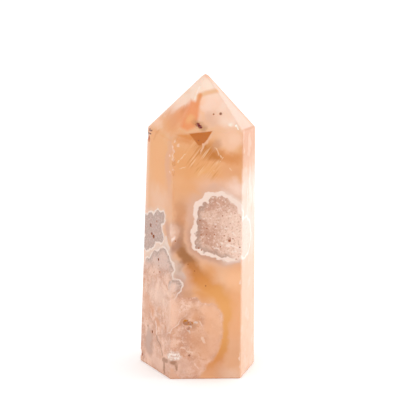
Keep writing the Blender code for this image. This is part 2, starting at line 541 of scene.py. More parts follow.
UPPER_ZONES = {
    "honey_left": ("left", -10.2, 57.5, 3.3, 9.5, 0, 0.5, 0.9, "#EEAB72"),
    "mauve_by_left_arris": ("left", -7.1, 56, 1.0, 10, 2, 0.7, 0.7, "#E3A886"),
    "dusk_left": ("left", -10.2, 47.0, 3.4, 3.6, 0, 0.8, 0.8, "#EDBB9B"),
    "honey_front": ("front", 0.5, 56.5, 7, 7, 0, 0.7, 0.8, "#E9A872"),
    "honey_glow": ("front", 1.9, 54.6, 3.4, 2.2, -25, 0.9, 0.6, "#EEB178"),
    "honey_right": ("front", 9.5, 55.5, 3.5, 2.2, 0, 0.9, 0.6, "#E5A77D"),
    "dusk_over_plume": ("front", 5.5, 51.6, 6.6, 2.6, 8, 0.8, 0.9, "#ECBA9D"),
    "blush_over_plume": ("front", 10.4, 50.2, 3.2, 3.4, 0, 0.8, 0.9, "#F8D6C5"),
    "dusk_beside_plume": ("front", -1.6, 45.0, 1.9, 5, -10, 0.8, 0.8, "#E0AF96"),
    "tan_between": ("front", -4.0, 45.4, 1.7, 3.6, 0, 0.8, 0.8, "#D49A72"),
    "orange_by_triangle": ("front", -2.7, 63.8, 2.8, 1.2, 0, 0.8, 0.8, "#E09660"),
    "brown_under_triangle": ("front", 2.6, 61.2, 2.8, 2.2, -30, 0.9, 0.9, "#C98145"),
    "brown_middle": ("front", 5.2, 59.7, 2.6, 1.6, 15, 0.8, 0.9, "#C67B3C"),
    "orange_right": ("front", 9.6, 59.2, 3.6, 1.8, 8, 0.8, 0.8, "#DB8F56"),
    "cream_crown": ("front_tip", 3.4, 77.2, 2.8, 2.2, 0, 0.7, 0.9, "#FEE6D3"),
    "pink_apex": ("front_tip", 2.3, 79.8, 1.3, 0.9, 0, 0.8, 0.8, "#FBCDB5"),
    "pink_right_tip": ("front_tip", 6.2, 72.0, 5, 3.6, 0, 0.6, 0.8, "#FDD6C0"),
    "pale_blob": ("front_tip", 8.8, 69.8, 3.2, 3.6, 25, 0.6, 0.9, "#FFE9DC"),
    # Painted highlight: a white streak along the arris between the front and right tip facets
    "highlight_on_the_right_tip_arris": ("front_tip", 7.9, 71.2, 2.1, 4.2, 27, 0.9, 0.9, "#FFF3EA"),
    "mauve_veil": ("front_tip", 4.3, 69.0, 2.8, 2.4, 0, 0.8, 0.85, "#E8BAA0"),
    "honey_left_tip": ("left_tip", -6.6, 66.6, 3.4, 2.2, 28, 0.7, 0.95, "#EDA873"),
    "tan_left_tip": ("left_tip", -5.7, 68.3, 2.0, 2.6, 30, 0.8, 0.95, "#E9A272"),
    "peach_left_corner": ("left_tip", -10.8, 66.0, 1.6, 2.0, 35, 0.8, 0.85, "#FACBAD"),
    "orange_left_tip": ("left_tip", -4.0, 68.9, 1.7, 3.0, 25, 0.7, 0.95, "#EE9F6C"),
    "dark_left_tip": ("left_tip", -3.2, 70.8, 0.7, 2.2, 28, 0.9, 0.7, "#E08D59"),
    "honey_tip_foot": ("front_tip", -3.4, 67.0, 2.6, 1.8, 0, 0.7, 0.8, "#F0B382"),
    "strip_on_shoulder": ("front_tip", -0.6, 66.2, 4.6, 0.6, -4, 0.6, 0.85, "#EEBB91"),
    "peach_beside_arm": ("front_tip", 1.6, 73.4, 1.4, 1.2, 20, 0.9, 0.8, "#FCC9A8"),
    "peach_beside_patch": ("front_tip", 1.2, 70.4, 0.9, 2.2, 0, 0.9, 0.75, "#F6C19A"),
}
colour = lay_zones(colour, UPPER_ZONES)
print(len(UPPER_ZONES), "zones above")

# %% Zones of the lower shaft
LOWER_ZONES = {
    "peach_right": ("front", 10.8, 21, 3.6, 12, 0, 0.6, 0.9, "#EFAF80"),
    "light_right": ("front", 10.0, 27.0, 3.4, 3.0, 12, 0.9, 0.85, "#F8C096"),
    "tan_right_foot": ("front", 9.6, 5.8, 3.6, 4.8, 0, 0.7, 0.8, "#E4AA82"),
    "pale_right_foot": ("front", 9.4, 1.0, 3.0, 1.8, 0, 1.0, 0.6, "#F1CAB0"),
    "amber_beside_bed": ("front", 1.0, 23.0, 2.6, 1.4, 20, 0.9, 0.85, "#DF9B62"),
    "amber_haze": ("front", 3.4, 28.8, 2.6, 2.0, 35, 0.9, 0.8, "#E39F68"),
    "rose_wedge": ("front", -2.0, 27.0, 2.6, 3.4, 25, 0.7, 0.85, "#DBA88D"),
    "grey_wedge": ("front", -4.8, 28.2, 1.6, 3.4, 8, 0.7, 0.9, "#D6B9AB"),
    "brown_by_the_tail": ("front", -4.0, 31.0, 1.2, 2.2, 30, 0.8, 0.95, "#B47B58"),
    "tan_under_lobe": ("front", -2.8, 23.2, 2.0, 1.5, -20, 0.8, 0.8, "#CF9A7A"),
    "pink_over_band": ("front", -6.8, 34.0, 1.2, 2.6, 15, 0.8, 0.7, "#DBAF9B"),
}
colour = lay_zones(colour, LOWER_ZONES)
print(len(LOWER_ZONES), "zones below")

# %% Zones of the hidden sides
# The photograph does not show these sides, so they continue what its edges show
FAR_ZONES = {
    "honey_back": ("back", 2, 58, 7, 8, 0, 0.7, 0.8, "#E8A670"),
    "brown_back": ("back", 5.5, 61.5, 4.5, 1.8, 12, 0.8, 0.8, "#CB8448"),
    "rose_back": ("back", -4, 50, 6, 4, 0, 0.8, 0.7, "#EDBB9E"),
    "amber_back": ("back", 3.5, 29, 2.4, 7, -20, 0.7, 0.8, "#DF9E5A"),
    "honey_back_left": ("back_left", -14.5, 54, 2.6, 10, 0, 0.7, 0.8, "#EFB07C"),
    "orange_back_left": ("back_left", -14.0, 31, 1.6, 4, 0, 0.8, 0.8, "#DC9458"),
    "rose_back_left": ("back_left", -13.0, 41, 2.0, 4, 0, 0.8, 0.7, "#DDB09A"),
    "milky_back_right": ("back_right", 13.5, 50, 2.4, 12, 0, 0.7, 0.8, "#FBE0CB"),
    "peach_back_right": ("back_right", 12.5, 12, 2.6, 9, 0, 0.7, 0.8, "#EDB088"),
    "orange_back_tip": ("back_tip", 4.5, 70, 3.6, 1.6, 20, 0.7, 0.8, "#EBA06A"),
    "pink_back_tip": ("back_left_tip", -9.5, 70, 1.6, 1.8, 0, 0.6, 0.8, "#FAD0B8"),
    "peach_back_right_tip": ("back_right_tip", 8, 70, 4, 4, 0, 0.6, 0.8, "#F8C6A6"),
}
colour = lay_zones(colour, FAR_ZONES)
print(len(FAR_ZONES), "zones on the hidden sides")

# %% [markdown]
# ### Lobes, streaks and wedges
# Plumes and clouds grew outwards from points as round lobes. Balls that blend into each other give their
# shape: the field below is the distance outside their common skin, so one field can lay a halo, a rim and a
# core. Thin inclusions run from one point to another. The distance to the straight line between them, as a
# share of half its width, gives a streak with round ends, and many of one colour are joined by taking the
# nearest. A wedge is the space inside straight sides, given as corners seen from the front, clockwise. It
# reaches only a little way under its facet, so that it doesn't come out on the other side of the stone.

# %% Lobes that grow into each other, streaks and wedges


def lobes(where, blend, balls_on_facets):
    """Millimetres outside the skin of lobes that grow into each other, and less than 0 inside them.

    Each lobe has an x, a z and a radius."""
    field = None
    for facet, lobes_here in balls_on_facets.items():
        for across, height, radius in lobes_here:
            inputs = {0: where, 1: on_facet(facet, across, height)}
            away = add_node(VECTOR_MATH, inputs, operation="DISTANCE").outputs["Value"]
            skin = calculate("SUBTRACT", away, radius)
            field = skin if field is None else calculate("SMOOTH_MIN", field, skin, blend)
    return field


def streaks(where, ends):
    """1 on the skin of the nearest streak, less inside it. Each has a facet, x, z, x, z and half a width."""
    field = None
    for facet, x, z, end_x, end_z, half_width in ends:
        start = on_facet(facet, x, z)
        way = on_facet(facet, end_x, end_z) - start
        offset = add_node(VECTOR_MATH, {0: where, 1: start}, operation="SUBTRACT").outputs["Vector"]
        inputs = {0: offset, 1: way / way.length_squared}
        share = add_node(VECTOR_MATH, inputs, operation="DOT_PRODUCT").outputs["Value"]
        share = add_node("ShaderNodeClamp", {"Value": share}).outputs["Result"]
        nearest = add_node(VECTOR_MATH, {0: way, "Scale": share}, operation="SCALE").outputs["Vector"]
        away = add_node(VECTOR_MATH, {0: offset, 1: nearest}, operation="DISTANCE").outputs["Value"]
        reach = calculate("DIVIDE", away, half_width)
        field = reach if field is None else calculate("MINIMUM", field, reach)
    return field


def wedge(where, facet, corners, depth=2.0):
    """Millimetres outside a shape with straight sides, and less than 0 inside it, near one facet."""
    field = calculate("SUBTRACT", under_facet(facet), depth)
    for (x, z), (next_x, next_z) in zip(corners, corners[1:] + corners[:1]):
        length = math.hypot(next_x - x, next_z - z)
        outward = ((z - next_z) / length, 0, (next_x - x) / length)
        reach = add_node(VECTOR_MATH, {0: where, 1: outward}, operation="DOT_PRODUCT").outputs["Value"]
        beyond = calculate("SUBTRACT", reach, outward[0] * x + outward[2] * z)
        field = calculate("MAXIMUM", field, beyond)
    return field


def lay_streaks(colour, where, kinds):
    """Lays each kind of streak: softness, strength, colour and the ends of its streaks."""
    for softness, strength, hex_colour, ends in kinds.values():
        field = streaks(where, ends)
        colour = lay(colour, hex_colour, fade(field, 1 + softness / 2, 1 - softness / 2, strength))
    return colour


print("lobes, streaks and wedges are ready")

# %% [markdown]
# ### The blossom bed
# The lower part is a bed of small pink and tan blossoms. Scattered cells about 3.4 mm apart make the
# blossoms, pale in the middle and tan between them. Noise of about half a millimetre is their sugary grain.

# %% Lay the blossom bed
BLOSSOM = 3.4
BED = {
    "front": [
        (2.7, 16.7, 4.1), (2.4, 12.6, 4.4), (0.8, 8.2, 4.7), (-2.1, 4.5, 4.8), (-2.2, 17.4, 5.0),
        (-5.0, 11.0, 8.0),
    ],
    "left": [(-8.6, 18.5, 7.4), (-12.0, 12.0, 9.0), (-13.0, 21.0, 7.0), (-11.0, 3.0, 8.0)],
    "back_left": [(-13.5, 8.0, 10.0), (-13.0, 21.0, 4.6), (-10.5, 17.0, 4.0)],
    "back": [
        (-6.5, 15.5, 3.6), (-3.4, 12.4, 4.2), (0.4, 11.0, 3.2), (3.4, 7.6, 3.8), (6.8, 4.4, 3.4),
        (-3.0, 5.0, 7.0), (3.0, 2.0, 5.0),
    ],
}

sugar = grain(0.5, 3.0, 0.65)
blossom = cells(BLOSSOM, ruffled)
petal_noise = grain(1.3, 3.0)

bed = lobes(ruffled, 0.7, BED)
blotch = grain(4.5)
bed_colour = lay("#EDC0A8", "#CB9276", fade(blossom, 0.25, 0.72, 0.75))
bed_colour = lay(bed_colour, "#F2C7AF", fade(blotch, 0.5, 0.62, 0.65))
bed_colour = lay(bed_colour, "#CFA08A", fade(blotch, 0.49, 0.37, 0.6))
bed_colour = lay(bed_colour, "#F4CBB3", fade(petal_noise, 0.52, 0.68, 0.6))
bed_colour = lay(bed_colour, "#CD8C68", fade(petal_noise, 0.46, 0.3, 0.6))
bed_colour = lay(bed_colour, "#C97F4A", fade(grain(1.0, 1.0), 0.63, 0.72, 0.6))
bed_colour = lay(bed_colour, "#F9DCCC", fade(sugar, 0.54, 0.7, 0.55))
bed_colour = lay(bed_colour, "#C0846A", fade(sugar, 0.46, 0.3, 0.5))
colour = lay(colour, bed_colour, fade(bed, 0.25, -0.35, 0.95))
print("blossom bed laid on", len(BED), "facets")

# %% Zones within the bed
BED_ZONES = {
    "peach_cloud": ("front", 4.2, 15.2, 2.7, 5.6, -4, 0.4, 0.8, "#EFB792"),
    "peach_cloud_top": ("front", 3.2, 18.6, 2.8, 2.2, 20, 0.5, 0.75, "#F0BA98"),
    "peach_cloud_foot": ("front", 3.4, 8.4, 2.6, 3.4, 30, 0.6, 0.7, "#E8B191"),
    "tan_hollow": ("front", -0.4, 17.6, 1.6, 3.2, 0, 0.8, 0.75, "#DA9C73"),
    "tan_low": ("front", -0.8, 11.2, 3.2, 2.2, 35, 0.9, 0.6, "#D59A7A"),
    "mauve_foot": ("front", -5.0, 3.4, 4.0, 3.4, 0, 0.8, 0.6, "#E3B9A5"),
    "pink_foot": ("front", 0.5, 3.0, 3.0, 2.4, 0, 0.8, 0.6, "#EAB9A0"),
    "light_left_foot": ("left", -10.8, 2.6, 3.4, 3.0, 0, 0.8, 0.7, "#EFC5B0"),
    "tan_over_the_bed": ("front", 0.8, 10.0, 3.4, 7.0, -8, 0.9, 0.45, "#DA9D74"),
    "tan_left_edge": ("left", -13.6, 17.5, 1.3, 6.0, 0, 0.8, 0.75, "#DBA080"),
    "blossom_high_left": ("left", -12.4, 23.5, 1.4, 2.4, 0, 0.8, 0.7, "#EDBFA6"),
    "orange_blot": ("left", -12.9, 21.2, 0.7, 1.5, 10, 0.8, 0.8, "#D3926D"),
    "orange_blot_low": ("left", -11.9, 16.6, 0.8, 2.4, -14, 0.7, 0.85, "#D89770"),
    "orange_blot_inner": ("left", -9.7, 17.2, 0.55, 1.4, 0, 0.7, 0.8, "#D89A74"),
    "orange_blot_vein": ("left", -10.3, 13.6, 0.5, 1.5, -20, 0.7, 0.8, "#D8976F"),
}
colour = lay_zones(colour, BED_ZONES)
print(len(BED_ZONES), "zones in the bed")

# %% A pale lobe that stands before the bed
PALE_LOBE = [(-9.5, 22.4), (-2.4, 22.2), (-1.1, 21.0), (-1.2, 19.4), (-8.0, 11.4)]
PALE_DEPTH = 4.5
PALE_SKIN = 0.22

pale_lobe = wedge(ruffled, "front", PALE_LOBE, PALE_DEPTH)
pale_colour = lay("#EDBFA6", "#F8D6C3", fade(petal_noise, 0.5, 0.64, 0.7))
pale_colour = lay(pale_colour, "#D39C80", fade(sugar, 0.47, 0.34, 0.7))
beside_arris = fade(side, -8.6, -6.8)
pale_fill = fade(pale_lobe, 0.4, -1.4, 0.75)
pale_shade = calculate("MULTIPLY", fade(pale_lobe, 1.6, 0.1, 0.6), fade(rise, 20.5, 17.0))
colour = lay(colour, "#CC9274", calculate("MULTIPLY", pale_shade, beside_arris))
colour = lay(colour, pale_colour, calculate("MULTIPLY", pale_fill, beside_arris))
pale_line = fade(calculate("ABSOLUTE", calculate("ADD", pale_lobe, 0.1)), PALE_SKIN, 0.06, 0.55)
pale_line = calculate("MULTIPLY", pale_line, fade(rise, 19.0, 15.0))
colour = lay(colour, "#F8E0D3", calculate("MULTIPLY", pale_line, beside_arris))
print("pale lobe laid with", len(PALE_LOBE), "corners")

# %% [markdown]
# ### The iron band
# A sheet of iron colour runs down through the front: brown at the top, amber further down. Its middle, its
# half width and its colour each follow the height, so two float curves and a colour ramp describe it.

# %% Lay the iron band
BAND_MIDDLE = [
    (0.5, 2.6), (3.3, 3.7), (6, 5.4), (8.7, 6.7), (12, 7.4), (15.5, 7.9), (18.8, 7.8), (21.5, 6.2),
    (23.9, 4.1), (26.3, 2.2), (29.6, -0.3), (32.8, -2.1), (35.4, -3.5), (38.9, -4.2), (44.2, -3.9),
    (48, -4.1),
]
BAND_HALF = [
    (0.5, 2.0), (5, 1.7), (9, 1.1), (15, 1.1), (19, 1.6), (23, 2.9), (27, 2.5), (30, 1.8), (33.5, 1.5),
    (38, 0.8), (43, 0.9), (48, 0.8),
]
BAND_COLOURS = [
    (0, "#EAB088"), (3, "#DC9A68"), (5, "#D88F55"), (9, "#DE9A58"), (15, "#E8A565"), (20, "#EAA766"),
    (24, "#E39E5B"), (27.5, "#D68B49"), (30.5, "#BF7B45"), (33.5, "#A97248"), (38, "#BB835D"),
    (43, "#D2956E"), (50, "#DDA078"),
]
BAND_DRIFT = 0.35  # the sheet runs sideways by this share of its depth behind the front
FRONT_DEPTH = -10.5
SIDEWAYS_RANGE = 20.0


def along_height(height, points, low, high):
    """A value that follows the height through a smooth curve; the curve itself holds shares from 0 to 1."""
    share = calculate("DIVIDE", height, HEIGHT)
    node = add_node("ShaderNodeFloatCurve", {"Value": share})
    curve = node.mapping.curves[0]
    curve.points[0].location = (points[0][0] / HEIGHT, (points[0][1] - low) / (high - low))
    curve.points[1].location = (points[-1][0] / HEIGHT, (points[-1][1] - low) / (high - low))
    for position, value in points[1:-1]:
        curve.points.new(position / HEIGHT, (value - low) / (high - low))
    node.mapping.update()
    return calculate("MULTIPLY_ADD", node.outputs[0], high - low, low)


across, depth, level = add_node("ShaderNodeSeparateXYZ", {0: wavy}).outputs
drift = calculate("MULTIPLY_ADD", depth, BAND_DRIFT, -FRONT_DEPTH * BAND_DRIFT)
middle = along_height(level, BAND_MIDDLE, -SIDEWAYS_RANGE, SIDEWAYS_RANGE)
half = along_height(level, BAND_HALF, 0, 10)
aside = calculate("ABSOLUTE", calculate("SUBTRACT", calculate("ADD", across, drift), middle))
band_field = calculate("DIVIDE", aside, half)
outside_bed = fade(bed, -0.6, 0.5)
band_mask = calculate("MULTIPLY", fade(band_field, 1.9, 0.3, 0.95), fade(level, 49, 42))
band_mask = calculate("MULTIPLY", band_mask, outside_bed)
colour = lay(colour, ramp(level, 0, 50, BAND_COLOURS), band_mask)
print("iron band laid through", len(BAND_MIDDLE), "points")

# %% [markdown]
# ### The plumes
# Each plume has a skin of white chalcedony and a sugary core. The core of the large one has its own, smaller
# lobes, and scattered cells about a millimetre and a half apart scallop its edge.

# %% The large plume on the front
RIGHT_PLUME_SKIN = {
    "front": [
        (4.6, 44.9, 5.5), (7.4, 43.6, 5.2), (4.3, 39.4, 5.9), (2.7, 37.7, 4.2), (5.6, 37.6, 5.0),
        (8.2, 37.5, 5.6),
    ],
    "right": [(12.6, 37.6, 5.8)],
}
RIGHT_PLUME_CORE = {
    "front": [
        (2.5, 45.0, 2.2), (6.0, 46.2, 3.2), (7.8, 44.9, 3.1), (9.4, 42.6, 2.6), (4.6, 42.4, 4.7),
        (4.4, 38.8, 4.6), (2.2, 37.0, 2.5), (4.4, 37.4, 3.6), (7.4, 37.2, 4.5), (9.8, 37.2, 4.7),
    ],
    "right": [(12.4, 37.6, 4.8)],
}
SCALLOP, SCALLOP_DEPTH = 1.5, 1.2
LUMP, LUMP_DEPTH = 2.4, 1.1

right_skin = lobes(ruffled, 0.8, RIGHT_PLUME_SKIN)
lumps = calculate("MULTIPLY_ADD", cells(LUMP), LUMP_DEPTH, -LUMP_DEPTH * 0.5)
right_skin = calculate("ADD", right_skin, calculate("MULTIPLY", lumps, fade(level, 43, 47)))
colour = lay(colour, "#DFB29A", fade(right_skin, 2.8, 0.3, 0.75))
colour = lay(colour, "#C4937B", calculate("MULTIPLY", fade(right_skin, 1.6, 0.1, 0.6), fade(level, 45, 38)))
colour = lay(colour, "#F3DACD", calculate("MULTIPLY", fade(right_skin, 1.5, 0.1, 0.7), fade(side, 5, 9)))
scallops = calculate("MULTIPLY_ADD", cells(SCALLOP), SCALLOP_DEPTH, -SCALLOP_DEPTH * 0.55)
right_core = calculate("ADD", lobes(ruffled, 0.4, RIGHT_PLUME_CORE), scallops)
print("halos and shape of the large plume laid")

# %% Rim and core of the large plume
mottle = grain(2.6)


def sugared(heart):
    """A plume's core: pale clouds and dark and light sugary grain over its main colour."""
    heart = lay(heart, "#F0CCB8", fade(mottle, 0.48, 0.66, 0.6))
    heart = lay(heart, "#BC8C74", fade(sugar, 0.46, 0.33, 0.65))
    return lay(heart, "#F9E2D4", fade(sugar, 0.54, 0.68, 0.75))


core_colour = lay("#CB9B85", "#F6D4C1", fade(side, 1.8, 10.5, 0.9))
core_colour = sugared(lay(core_colour, "#CF9F89", fade(rise, 43.5, 47, 0.7)))
left_or_low = calculate("MAXIMUM", fade(side, 5, 1.5), fade(rise, 38, 34.5))
grey_edge = calculate("MULTIPLY", calculate("MAXIMUM", left_or_low, 0.25), fade(side, 10.5, 7.5))
grey_edge = calculate("MULTIPLY", fade(right_core, -1.9, -0.3, 0.65), grey_edge)
core_colour = lay(core_colour, "#B39485", grey_edge)
colour = lay(colour, "#F6DDCF", fade(right_skin, 0.22, -0.15, 0.95))
colour = lay(colour, core_colour, fade(right_core, 0.15, -0.15))
print("core colours of the large plume laid")

# %% The plumes on the left
LEFT_UPPER_SKIN = {
    "left": [
        (-10.2, 41.5, 2.7), (-9.1, 42.4, 1.9), (-12.2, 40.2, 2.9), (-14.1, 38.6, 3.2), (-10.9, 38.6, 3.9),
        (-12.4, 35.6, 3.2), (-9.7, 37.2, 2.2), (-13.6, 33.6, 2.4),
    ],
}
LEFT_MIDDLE_SKIN = {
    "left": [
        (-8.9, 30.8, 4.0), (-11.0, 29.4, 3.5), (-7.5, 30.2, 2.4), (-7.6, 27.4, 2.5), (-12.8, 27.0, 3.4),
        (-10.6, 25.4, 4.4), (-8.6, 24.6, 4.2), (-12.6, 23.0, 4.0), (-7.6, 23.4, 3.0),
    ],
}
THIRD_LOBE_SKIN = {"front": [(-6.0, 25.2, 2.3), (-6.8, 24.0, 2.2)]}
JUNCTION = {
    "skin_between_plumes": (1.2, 0.85, "#F0DBCF", [
        ("left", -13.8, 30.8, -11.4, 33.4, 0.9), ("left", -11.4, 33.6, -8.6, 35.6, 1.2),
    ]),
    "skin_of_the_corner": (1.0, 0.8, "#F1DDD0", [("left", -8.1, 37.4, -7.5, 34.8, 0.7)]),
}


def lay_grey_plume(colour, skin, rim, heart, pink_below, open_along, open_below):
    """A thin white skin, a grey core with sugary grain, and pink below, where the plume opens."""
    inner = lay("#BDA093", heart, fade(skin, -0.6, -2.2))
    inner = lay(inner, "#DFC3B5", fade(sugar, 0.5, 0.66, 0.7))
    inner = lay(inner, "#A98A7E", fade(sugar, 0.46, 0.32, 0.6))
    inner = lay(inner, bed_colour, fade(level, pink_below + 2, pink_below - 2, 0.9))
    closed = fade(open_along, open_below - 1.5, open_below + 1.5)
    colour = lay(colour, "#F1DCD0", calculate("MULTIPLY", fade(skin, 0.2, -0.1, 0.9), closed))
    return lay(colour, inner, fade(skin, -rim + 0.15, -rim - 0.15))


colour = lay_streaks(colour, ruffled, JUNCTION)
middle_skin = lobes(ruffled, 0.6, LEFT_MIDDLE_SKIN)
colour = lay(colour, "#D9BFB0", calculate("MULTIPLY", fade(middle_skin, 2.4, 0.2, 0.7), fade(level, 25, 28)))
colour = lay_grey_plume(colour, middle_skin, 0.4, "#DDB9A9", 28.4, level, 27.4)
third_skin = lobes(ruffled, 0.5, THIRD_LOBE_SKIN)
third_shade = calculate("MULTIPLY", fade(third_skin, 1.6, 0.1, 0.6), fade(side, -6.4, -5.2))
colour = lay(colour, "#C99C88", third_shade)
colour = lay_grey_plume(colour, third_skin, 0.3, "#EAC6B4", 24.6, side, -5.9)
upper_skin = lobes(ruffled, 0.6, LEFT_UPPER_SKIN)
colour = lay(colour, "#E9C2A9", fade(upper_skin, 1.4, 0.1, 0.6))
colour = lay_grey_plume(colour, upper_skin, 0.42, "#C2A296", 12, level, 12)
print("three plumes on the left laid")

# %% Plumes on the hidden sides
FAR_PLUME_SKINS = {
    "back": [(-3.2, 43.6, 4.6), (-0.6, 40.6, 4.2), (-4.8, 38.8, 4.2), (-1.8, 36.0, 3.6), (1.6, 38.0, 3.0)],
    "back_right": [(12.6, 23.0, 3.4), (13.4, 20.4, 2.6), (11.6, 20.6, 2.8)],
}
far_heart = sugared(lay("#DBAE98", "#C9A596", fade(rise, 38, 44, 0.7)))
for name, lobes_here in FAR_PLUME_SKINS.items():
    far_skin = lobes(ruffled, 0.7, {name: lobes_here})
    colour = lay(colour, "#D2A08A", fade(far_skin, 2.2, 0.1, 0.6))
    colour = lay(colour, "#F4DACB", fade(far_skin, 0.22, -0.15, 0.95))
    far_core = calculate("ADD", far_skin, scallops)
    far_colour = lay(far_heart, "#B39485", fade(far_core, -2.6, -1.1, 0.5))
    colour = lay(colour, far_colour, fade(far_core, -0.6, -0.95))
    print("plume on the", name, "facet laid")

# %% [markdown]
# ### Light in the edges
# Where the stone is thin, along an arris, light comes through and it looks pink and pale. A place is near an
# arris when it lies only a little way under both of the facets that meet there.

# %% Lay the light of the thin edges


def near_arris(facet, next_facet, reach, strength):
    """A mask along the arris where two facets meet."""
    one, other = fade(under_facet(facet), reach, 0, strength), fade(under_facet(next_facet), reach, 0)
    return calculate("MULTIPLY", one, other)


thin_left = calculate("MULTIPLY", near_arris("left", "back_left", 2.4, 0.7), outside_bed)
colour = lay(colour, "#F9CFB8", calculate("MULTIPLY", thin_left, fade(upper_skin, -0.2, 0.6)))
colour = lay(colour, "#FBD3BC", near_arris("left_tip", "back_left_tip", 0.9, 0.7))
colour = lay(colour, "#FBD3BC", near_arris("back_tip", "back_left_tip", 0.9, 0.6))
colour = lay(colour, "#F4D3C1", fade(under_facet("right_tip"), 0.6, 0.1, 0.75))
colour = lay(colour, "#F3B58E", near_arris("right_tip", "back_right_tip", 1.6, 0.8))
print("light of the thin edges laid")

# %% [markdown]
# ### Marks with an outline
# Some stains have straight, clear outlines, because a healed crack stopped the iron. The pale line along an
# arris of the tip among them is a painted highlight.

# %% Lay the marks with an outline
TIP_STREAKS = {
    "tan_bar_of_the_tip": (1.6, 0.75, "#F0B787", [
        ("front_tip", 0.3, 74.5, 3.2, 75.3, 0.6), ("front_tip", 2.2, 75.1, 5.9, 75.9, 0.62),
    ]),
    "orange_arm": (1.4, 0.9, "#EB9B68", [("front_tip", 0.9, 74.6, -0.1, 72.0, 0.5)]),
    # Painted highlight: a pale line along the arris between the front and left tip facets, over the orange
    # arm
    "highlight_along_the_tip_arris": (1.0, 0.5, "#FFF3E8", [("front_tip", 0.7, 76.7, -0.6, 73.7, 0.24)]),
}
WEDGES = {
    "orange_patch": ("front_tip", 1.1, 0.95, "#F09D6C", [
        (-1.5, 73.4), (0.7, 72.6), (0.5, 69.6), (-0.4, 66.9), (-2.4, 66.0), (-4.4, 67.0), (-2.8, 71.2),
    ]),
    "triangle_left_point": ("front", 0.8, 0.75, "#DD8F50", [(-5.0, 64.9), (0.6, 65.6), (0.8, 63.0)]),
    "dark_triangle": ("front", 0.35, 1.0, "#C67600", [(-1.9, 65.3), (4.0, 65.95), (1.8, 62.3), (0.4, 62.3)]),
    "brown_tail": ("front", 1.0, 0.8, "#A8714A", [
        (-4.4, 36.2), (-2.8, 34.4), (-0.8, 32.0), (-3.2, 31.4), (-5.4, 34.2),
    ]),
}
colour = lay_streaks(colour, straight, TIP_STREAKS)
for facet, softness, strength, hex_colour, corners in WEDGES.values():
    field = wedge(straight, facet, corners)
    colour = lay(colour, hex_colour, fade(field, softness / 2, -softness / 2, strength))
print(len(WEDGES), "wedges laid")

# %% Round marks in front of the stains
NEAR_ZONES = {
    "light_left_bed": ("left", -9.8, 21.2, 3.4, 3.6, 0, 0.9, 0.45, "#FFDCC8"),
    "gold_in_the_patch": ("front_tip", -2.0, 68.8, 1.3, 1.5, 20, 0.8, 0.55, "#F4BE86"),
    "pink_in_the_third_lobe": ("front", -6.5, 25.2, 1.4, 1.7, 0, 0.9, 0.6, "#F5D3C2"),
    "round_lobe": ("front", 8.5, 63.9, 3.8, 3.4, 0, 0.5, 0.9, "#F5C4A4"),
    "light_of_the_lobe": ("front", 9.4, 64.2, 1.8, 2.0, 0, 0.9, 0.6, "#FCD2B8"),
    "lobe_shadow": ("front", 4.9, 62.7, 1.2, 2.0, 20, 0.9, 0.6, "#CE9A7B"),
    # A small white fleck near the right arris of the tip
    "fleck_high": ("front_tip", 9.3, 67.6, 0.75, 0.55, 0, 0.9, 0.9, "#FFF4E8"),
    "teardrop_shade": ("front", -5.6, 39.4, 2.3, 3.9, -8, 0.6, 0.75, "#C99A80"),
    "mauve_under_teardrop": ("front", -5.3, 36.1, 1.3, 2.8, 45, 0.7, 0.85, "#B68770"),
    "teardrop": ("front", -6.3, 39.8, 1.7, 3.3, -8, 0.5, 0.85, "#E2B59D"),
    "teardrop_dark": ("left", -7.7, 39.6, 0.8, 3.2, 0, 0.7, 0.8, "#CF9E87"),
    "teardrop_streak": ("front", -6.5, 40.2, 0.7, 2.4, -12, 0.9, 0.9, "#F3CDB8"),
    # Painted highlight: a small white spot at the lower right of the teardrop
    "teardrop_highlight": ("front", -6.2, 37.9, 0.55, 1.0, 20, 0.8, 1.0, "#FDE4D6"),
    "grey_spot_edge": ("left", -12.9, 7.0, 1.6, 4.3, 0, 0.5, 0.75, "#BE907B"),
    "grey_spot": ("left", -13.1, 7.4, 1.25, 3.5, 0, 0.5, 0.8, "#CBA695"),
    "dusk_above_roots": ("front", -6.8, 4.3, 1.9, 0.9, 0, 0.8, 0.7, "#C69A83"),
}
colour = lay_zones(colour, NEAR_ZONES)
crust = egg(ruffled, "front", -6.2, 6.3, 2.4, 1.5)
crust_colour = lay("#E0BFAF", "#FBEDE3", fade(sugar, 0.44, 0.58))
colour = lay(colour, crust_colour, fade(crust, 1.15, 0.6, 0.9))
print(len(NEAR_ZONES), "round marks and a crust")

# %% [markdown]
# ### Hair-thin needles
# Under the tip many hair-thin needles run the same way. Noise on a place that is stretched 14 times along
# that way gives such hairs, light and dark, and one soft zone keeps them to their part of the stone.

# %% Lay the needles
NEEDLE_TURN = math.radians(36)
NEEDLE_WIDTH, NEEDLE_LENGTH = 0.42, 6.0

along = (math.sin(NEEDLE_TURN) / NEEDLE_LENGTH, 0, math.cos(NEEDLE_TURN) / NEEDLE_LENGTH)
beside = (math.cos(NEEDLE_TURN) / NEEDLE_WIDTH, 0, -math.sin(NEEDLE_TURN) / NEEDLE_WIDTH)
needle_place = add_node("ShaderNodeCombineXYZ", {
    0: add_node(VECTOR_MATH, {0: straight, 1: beside}, operation="DOT_PRODUCT").outputs["Value"],
    1: add_node(VECTOR_MATH, {0: straight, 1: along}, operation="DOT_PRODUCT").outputs["Value"],
}).outputs["Vector"]
inputs = {"Vector": needle_place, "Scale": 1.0, "Detail": 1.0}
needle_noise = add_node("ShaderNodeTexNoise", inputs).outputs["Fac"]
needle_zone = egg(wavy, "front", 1.6, 58.6, 6.2, 4.4, 50)
light_hairs = calculate("MULTIPLY", fade(needle_noise, 0.54, 0.72, 0.75), fade(needle_zone, 1.1, 0.5))
dark_hairs = calculate("MULTIPLY", fade(needle_noise, 0.47, 0.3, 0.5), fade(needle_zone, 1.1, 0.5))
colour = lay(colour, "#F6CBA4", light_hairs)
colour = lay(colour, "#C77C40", dark_hairs)
print("needles laid")
